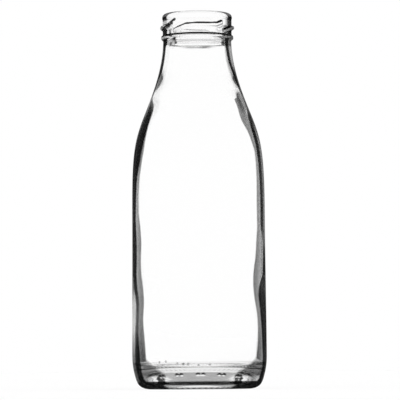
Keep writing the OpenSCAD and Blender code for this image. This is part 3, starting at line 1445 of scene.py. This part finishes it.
    def build(self) -> bpy.types.Object:
        """Builds the closed skin.

        Returns:
            The bottle's object, with the marks for its glass as attributes.
        """
        s = self.sizes
        skin = Skin()
        skin.pole(s.push_up)
        for stretch in self.stretches():
            if stretch.inside:
                skin.split = skin.count
            turn = skin.turns(stretch.round.value)[None, :]
            radius, height = stretch.outline[:, :1], stretch.outline[:, 1:]
            radius, height = stretch.shape(turn, radius + 0 * turn, height + 0 * turn)
            skin.add(np.stack([radius * np.cos(turn), radius * np.sin(turn), height], -1))
        skin.pole(s.push_up + s.bottom_wall)
        mesh = skin.mesh("bottle_glass")
        surface = Surface.read(mesh, skin.split, self.side())
        for marker in self.markers():
            for name, values in marker.marks(surface).items():
                made = mesh.attributes.new(name, "FLOAT", "POINT")
                made.data.foreach_set("value", values.astype(np.float32))
        bottle = bpy.data.objects.new("bottle_glass", mesh)
        bpy.context.scene.collection.objects.link(bottle)
        return bottle


# ---------------------------------------------------------------- shader maths


@dataclass(frozen=True)
class Value:
    """A shader socket that works in Python sums."""

    tree: "NodeTree"
    socket: Any

    def __add__(self, other: Any) -> "Value":
        """Adds."""
        return self.tree.math("ADD", self, other)

    def __radd__(self, other: Any) -> "Value":
        """Adds, with the socket on the right."""
        return self.tree.math("ADD", other, self)

    def __sub__(self, other: Any) -> "Value":
        """Takes away."""
        return self.tree.math("SUBTRACT", self, other)

    def __rsub__(self, other: Any) -> "Value":
        """Takes the socket away from a number."""
        return self.tree.math("SUBTRACT", other, self)

    def __mul__(self, other: Any) -> "Value":
        """Multiplies."""
        return self.tree.math("MULTIPLY", self, other)

    def __rmul__(self, other: Any) -> "Value":
        """Multiplies, with the socket on the right."""
        return self.tree.math("MULTIPLY", other, self)

    def __truediv__(self, other: Any) -> "Value":
        """Divides."""
        return self.tree.math("DIVIDE", self, other)

    def __rtruediv__(self, other: Any) -> "Value":
        """Divides a number by the socket."""
        return self.tree.math("DIVIDE", other, self)

    def clamp(self) -> "Value":
        """Keeps the value between 0 and 1."""
        return self.tree.math("MULTIPLY", self, 1.0, clamp=True)

    def ramp(self, low: Any, high: Any) -> "Value":
        """Rises smoothly from 0 at low to 1 at high, which may be sockets."""
        t = ((self - low) / (high - low)).clamp()
        return t * t * (3.0 - 2.0 * t)

    def window(self, low: Edge, high: Edge) -> "Value":
        """Rises smoothly through the low edge and falls through the high one."""
        return self.ramp(*low) * (1.0 - self.ramp(*high))

    def larger(self, other: "Value") -> "Value":
        """Gives the larger of two values."""
        return self.tree.math("MAXIMUM", self, other)


@dataclass(frozen=True)
class NodeTree:
    """A node tree that nodes are added to."""

    tree: Any

    def node(
        self, kind: str, settings: dict[str, Any] | None = None, inputs: dict[Any, Any] | None = None
    ) -> Any:
        """Adds a node.

        Args:
            kind: the node's type.
            settings: its properties, set first.
            inputs: what its sockets get, by name or number: a Value, a socket or a constant.

        Returns:
            The node.
        """
        made = self.tree.nodes.new(kind)
        for name, setting in (settings or {}).items():
            setattr(made, name, setting)
        for name, given in (inputs or {}).items():
            named = [x for x in made.inputs if x.name == name and x.enabled]
            socket = named[0] if named else made.inputs[name]
            if isinstance(given, Value):
                self.tree.links.new(given.socket, socket)
            elif isinstance(given, bpy.types.NodeSocket):
                self.tree.links.new(given, socket)
            else:
                socket.default_value = given
        return made

    def math(self, operation: str, a: Any, b: Any, clamp: bool = False) -> Value:
        """Adds a Math node for two values."""
        made = self.node("ShaderNodeMath", {"operation": operation, "use_clamp": clamp}, {0: a, 1: b})
        return Value(self, made.outputs[0])

    def value(self, node: Any, output: Any) -> Value:
        """Wraps one of a node's outputs."""
        return Value(self, node.outputs[output])

    def attribute(self, name: str) -> Value:
        """Reads one of the mesh's attributes."""
        return self.value(self.node("ShaderNodeAttribute", {"attribute_name": name}), "Fac")

    def colour(self, node: Any) -> Any:
        """Gives a Mix node's output of the kind that it mixes."""
        return next(socket for socket in node.outputs if socket.enabled)


# ---------------------------------------------------------------- finishes


@dataclass(frozen=True)
class ClearGlass:
    """Clear flint glass.

    A curved wall bends what is behind it more and more towards its edge, so
    a clear bottle has grey margins, with a black streak where the wall turns
    the light back. Here they are painted shade: the grey goes into the Base
    Color, and the black by mixing in an unreflecting black shader. Where they
    start is in the mesh's attributes, as values of the Layer Weight node's
    Facing. Light that a lug, the bead or the heel turns back inside the glass
    is painted as black shade too. A name that ends in "soft" is how far a mask
    takes to come in, and one that ends in "in" or "out" is where it comes in
    or goes out, all as facing values.
    """

    clear: Colour = WHITE
    # the Base Color of the painted grey shade
    margin: Colour = (0.003, 0.003, 0.003, 1.0)
    # the colour of the shader that the painted dark shade mixes in
    black: Colour = (0.004, 0.004, 0.004, 1.0)
    ior: float = 1.5
    absorb_colour: Colour = (0.87, 0.87, 0.87, 1.0)
    absorb_density: float = 8.0
    margin_soft: float = 0.03
    streak_soft: float = 0.05
    veil_soft: float = 0.08
    turned_soft: float = 0.1
    margin_loss: float = 0.2
    painted_dome_shade_in: Edge = (0.085, 0.1)
    painted_dome_shade_out: Edge = (0.2, 0.25)
    brink_in: Edge = (0.262, 0.275)
    brink_out: Edge = (0.31, 0.35)

    def streak(self, tree: NodeTree, facing: Value) -> Value:
        """Gives the painted dark streak along the outline, and the painted shade beside it.

        Args:
            tree: the material's nodes.
            facing: the Layer Weight node's Facing.

        Returns:
            How dark they make the glass.
        """
        start, end = tree.attribute("streak_from"), tree.attribute("streak_to")
        within = facing.ramp(start - self.streak_soft, start)
        beyond = facing.ramp(end, end + self.streak_soft)
        streak = within * (tree.attribute("streak") * (1.0 - beyond) + beyond * tree.attribute("rim"))
        veil_from = tree.attribute("veil_from")
        return streak.larger(facing.ramp(veil_from, veil_from + self.veil_soft) * tree.attribute("veil"))

    def turned(self, tree: NodeTree, facing: Value) -> Value:
        """Gives the painted shade for light that is turned back inside the glass.

        Args:
            tree: the material's nodes.
            facing: the Layer Weight node's Facing.

        Returns:
            How dark that makes the glass, seen from within.
        """
        start = tree.attribute("turned_from")
        turned = facing.ramp(start, start + self.turned_soft) * tree.attribute("turned")
        brink = facing.window(self.brink_in, self.brink_out) * tree.attribute("brink")
        return turned.larger(brink).larger(tree.attribute("dark_in"))

    def dress(self, piece: bpy.types.Object) -> None:
        """Gives the piece its glass.

        Args:
            piece: the object that gets the material.
        """
        material = bpy.data.materials.new("clear_glass")
        material.use_nodes = True
        material.node_tree.nodes.clear()
        tree = NodeTree(material.node_tree)
        facing = tree.value(tree.node("ShaderNodeLayerWeight", inputs={"Blend": 0.5}), "Facing")
        behind = tree.value(tree.node("ShaderNodeNewGeometry"), "Backfacing")
        # painted shade: the grey margin and the grey over the dome go into the Base Color
        start = tree.attribute("grey_from")
        end = start + self.margin_soft
        grey = facing.ramp(start, end)
        edge = grey * (1.0 - facing.ramp(end, end + self.margin_soft)) * tree.attribute("edge")
        edge = edge.larger(grey * self.margin_loss)
        grey = grey.larger(tree.attribute("painted_dome_shade") * facing.window(self.painted_dome_shade_in, self.painted_dome_shade_out))
        # painted shade: what is dark on the front, and the turned-back light seen from within, mix in the
        # black shader
        front = self.streak(tree, facing).larger(tree.attribute("dark")).larger(edge)
        dark = front * (1.0 - behind) + self.turned(tree, facing) * behind
        colour = tree.node(
            "ShaderNodeMix", {"data_type": "RGBA"}, {"Factor": grey, "A": self.clear, "B": self.margin}
        )
        glass = tree.node(
            "ShaderNodeBsdfPrincipled",
            inputs={
                "Base Color": tree.colour(colour),
                "Roughness": tree.attribute("rough"),
                "IOR": self.ior,
                "Transmission Weight": 1.0,
            },
        )
        # an unreflecting black shader, mixed in as painted shade
        painted_shade_bsdf = tree.node(
            "ShaderNodeBsdfPrincipled",
            inputs={"Base Color": self.black, "Roughness": 1.0, "Specular IOR Level": 0.0},
        )
        mixed = tree.node("ShaderNodeMixShader", inputs={0: dark, 1: glass.outputs[0], 2: painted_shade_bsdf.outputs[0]})
        inside = tree.node(
            "ShaderNodeVolumeAbsorption",
            inputs={"Color": self.absorb_colour, "Density": self.absorb_density},
        )
        ends = {"Surface": mixed.outputs[0], "Volume": inside.outputs[0]}
        tree.node("ShaderNodeOutputMaterial", inputs=ends)
        piece.data.materials.append(material)


# ---------------------------------------------------------------- the studio


class Ray(Enum):
    """What kind of ray asks for a colour, as the Light Path node names it."""

    CAMERA = "Is Camera Ray"
    GLOSSY = "Is Glossy Ray"
    THROUGH = "Is Transmission Ray"


def looks_at_background(tree: NodeTree) -> Value:
    """Tells which rays look at the background: straight, in a reflection or through glass.

    Args:
        tree: the nodes of a world or a material.

    Returns:
        1 for those rays and 0 for light.
    """
    path = tree.node("ShaderNodeLightPath")
    seen = tree.value(path, Ray.CAMERA.value)
    for ray in (Ray.GLOSSY, Ray.THROUGH):
        seen = seen.larger(tree.value(path, ray.value))
    return seen


@dataclass
class Studio:
    """A white background, a pale floor, soft light from all round, and the camera.

    Lengths are in metres, the lens and the sensor in millimetres, and the
    roll in degrees. floor_drop keeps the floor just clear of the foot.
    """

    distance: float = 1.9
    eye_h: float = 0.012
    aim: tuple[float, float, float] = (0.00106, 0.0, 0.12486)
    roll: float = -0.43
    lens: float = 258.74
    sensor: float = 36.0
    clip: Pair = (0.05, 200.0)
    floor_size: float = 60.0
    floor_drop: float = 0.00002
    light: float = 1.0
    floor_colour: float = 0.2

    def camera(self) -> None:
        """Sets the camera low in front of the bottle, with a long lens."""
        data = bpy.data.cameras.new("camera")
        data.lens = self.lens
        data.sensor_width = self.sensor
        data.clip_start, data.clip_end = self.clip
        camera = bpy.data.objects.new("camera", data)
        eye = Vector((0.0, -self.distance, self.eye_h))
        look = (Vector(self.aim) - eye).to_track_quat("-Z", "Y").to_matrix().to_4x4()
        roll = Matrix.Rotation(math.radians(self.roll), 4, "Z")
        camera.matrix_world = Matrix.Translation(eye) @ look @ roll
        bpy.context.scene.collection.objects.link(camera)
        bpy.context.scene.camera = camera

    def world(self) -> None:
        """Makes the light: white where it is looked at, even and soft where it lights."""
        world = bpy.data.worlds.new("soft_studio")
        world.use_nodes = True
        world.node_tree.nodes.clear()
        tree = NodeTree(world.node_tree)
        seen = looks_at_background(tree)
        strength = self.light + (1.0 - self.light) * seen
        back = tree.node("ShaderNodeBackground", inputs={"Color": WHITE, "Strength": strength})
        tree.node("ShaderNodeOutputWorld", inputs={"Surface": back.outputs[0]})
        bpy.context.scene.world = world

    def floor(self) -> None:
        """Lays the pale floor, which is as bright as the background but keeps the bottle's shadow."""
        half = self.floor_size / 2
        mesh = bpy.data.meshes.new("floor")
        corners = [(x * half, y * half, -self.floor_drop) for x, y in ((-1, -1), (1, -1), (1, 1), (-1, 1))]
        mesh.from_pydata(corners, [], [(0, 1, 2, 3)])
        floor = bpy.data.objects.new("floor", mesh)
        bpy.context.scene.collection.objects.link(floor)
        material = bpy.data.materials.new("pale_floor")
        material.use_nodes = True
        material.node_tree.nodes.clear()
        tree = NodeTree(material.node_tree)
        seen = looks_at_background(tree)
        matt = tree.node(
            "ShaderNodeBsdfDiffuse", inputs={"Color": (self.floor_colour,) * 3 + (1.0,), "Roughness": 1.0}
        )
        strength = seen * (1.0 - self.floor_colour * self.light)
        glow = tree.node("ShaderNodeEmission", inputs={"Color": WHITE, "Strength": strength})
        both = tree.node("ShaderNodeAddShader", inputs={0: matt.outputs[0], 1: glow.outputs[0]})
        tree.node("ShaderNodeOutputMaterial", inputs={"Surface": both.outputs[0]})
        mesh.materials.append(material)


# ---------------------------------------------------------------- assembly


def main() -> None:
    """Builds the bottle and the studio, and reports each piece."""
    logging.basicConfig(level=logging.INFO, format="%(message)s")
    studio = Studio()
    studio.camera()
    bottle = GlassBottle().build()
    ClearGlass().dress(bottle)
    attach(bottle, "root")
    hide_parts(NODE)
    LOG.info("%s: %d points, %d faces", bottle.name, len(bottle.data.vertices), len(bottle.data.polygons))
    studio.world()
    studio.floor()
    scene = bpy.context.scene
    scene.view_settings.view_transform = "Standard"


if __name__ == "__main__":
    main()
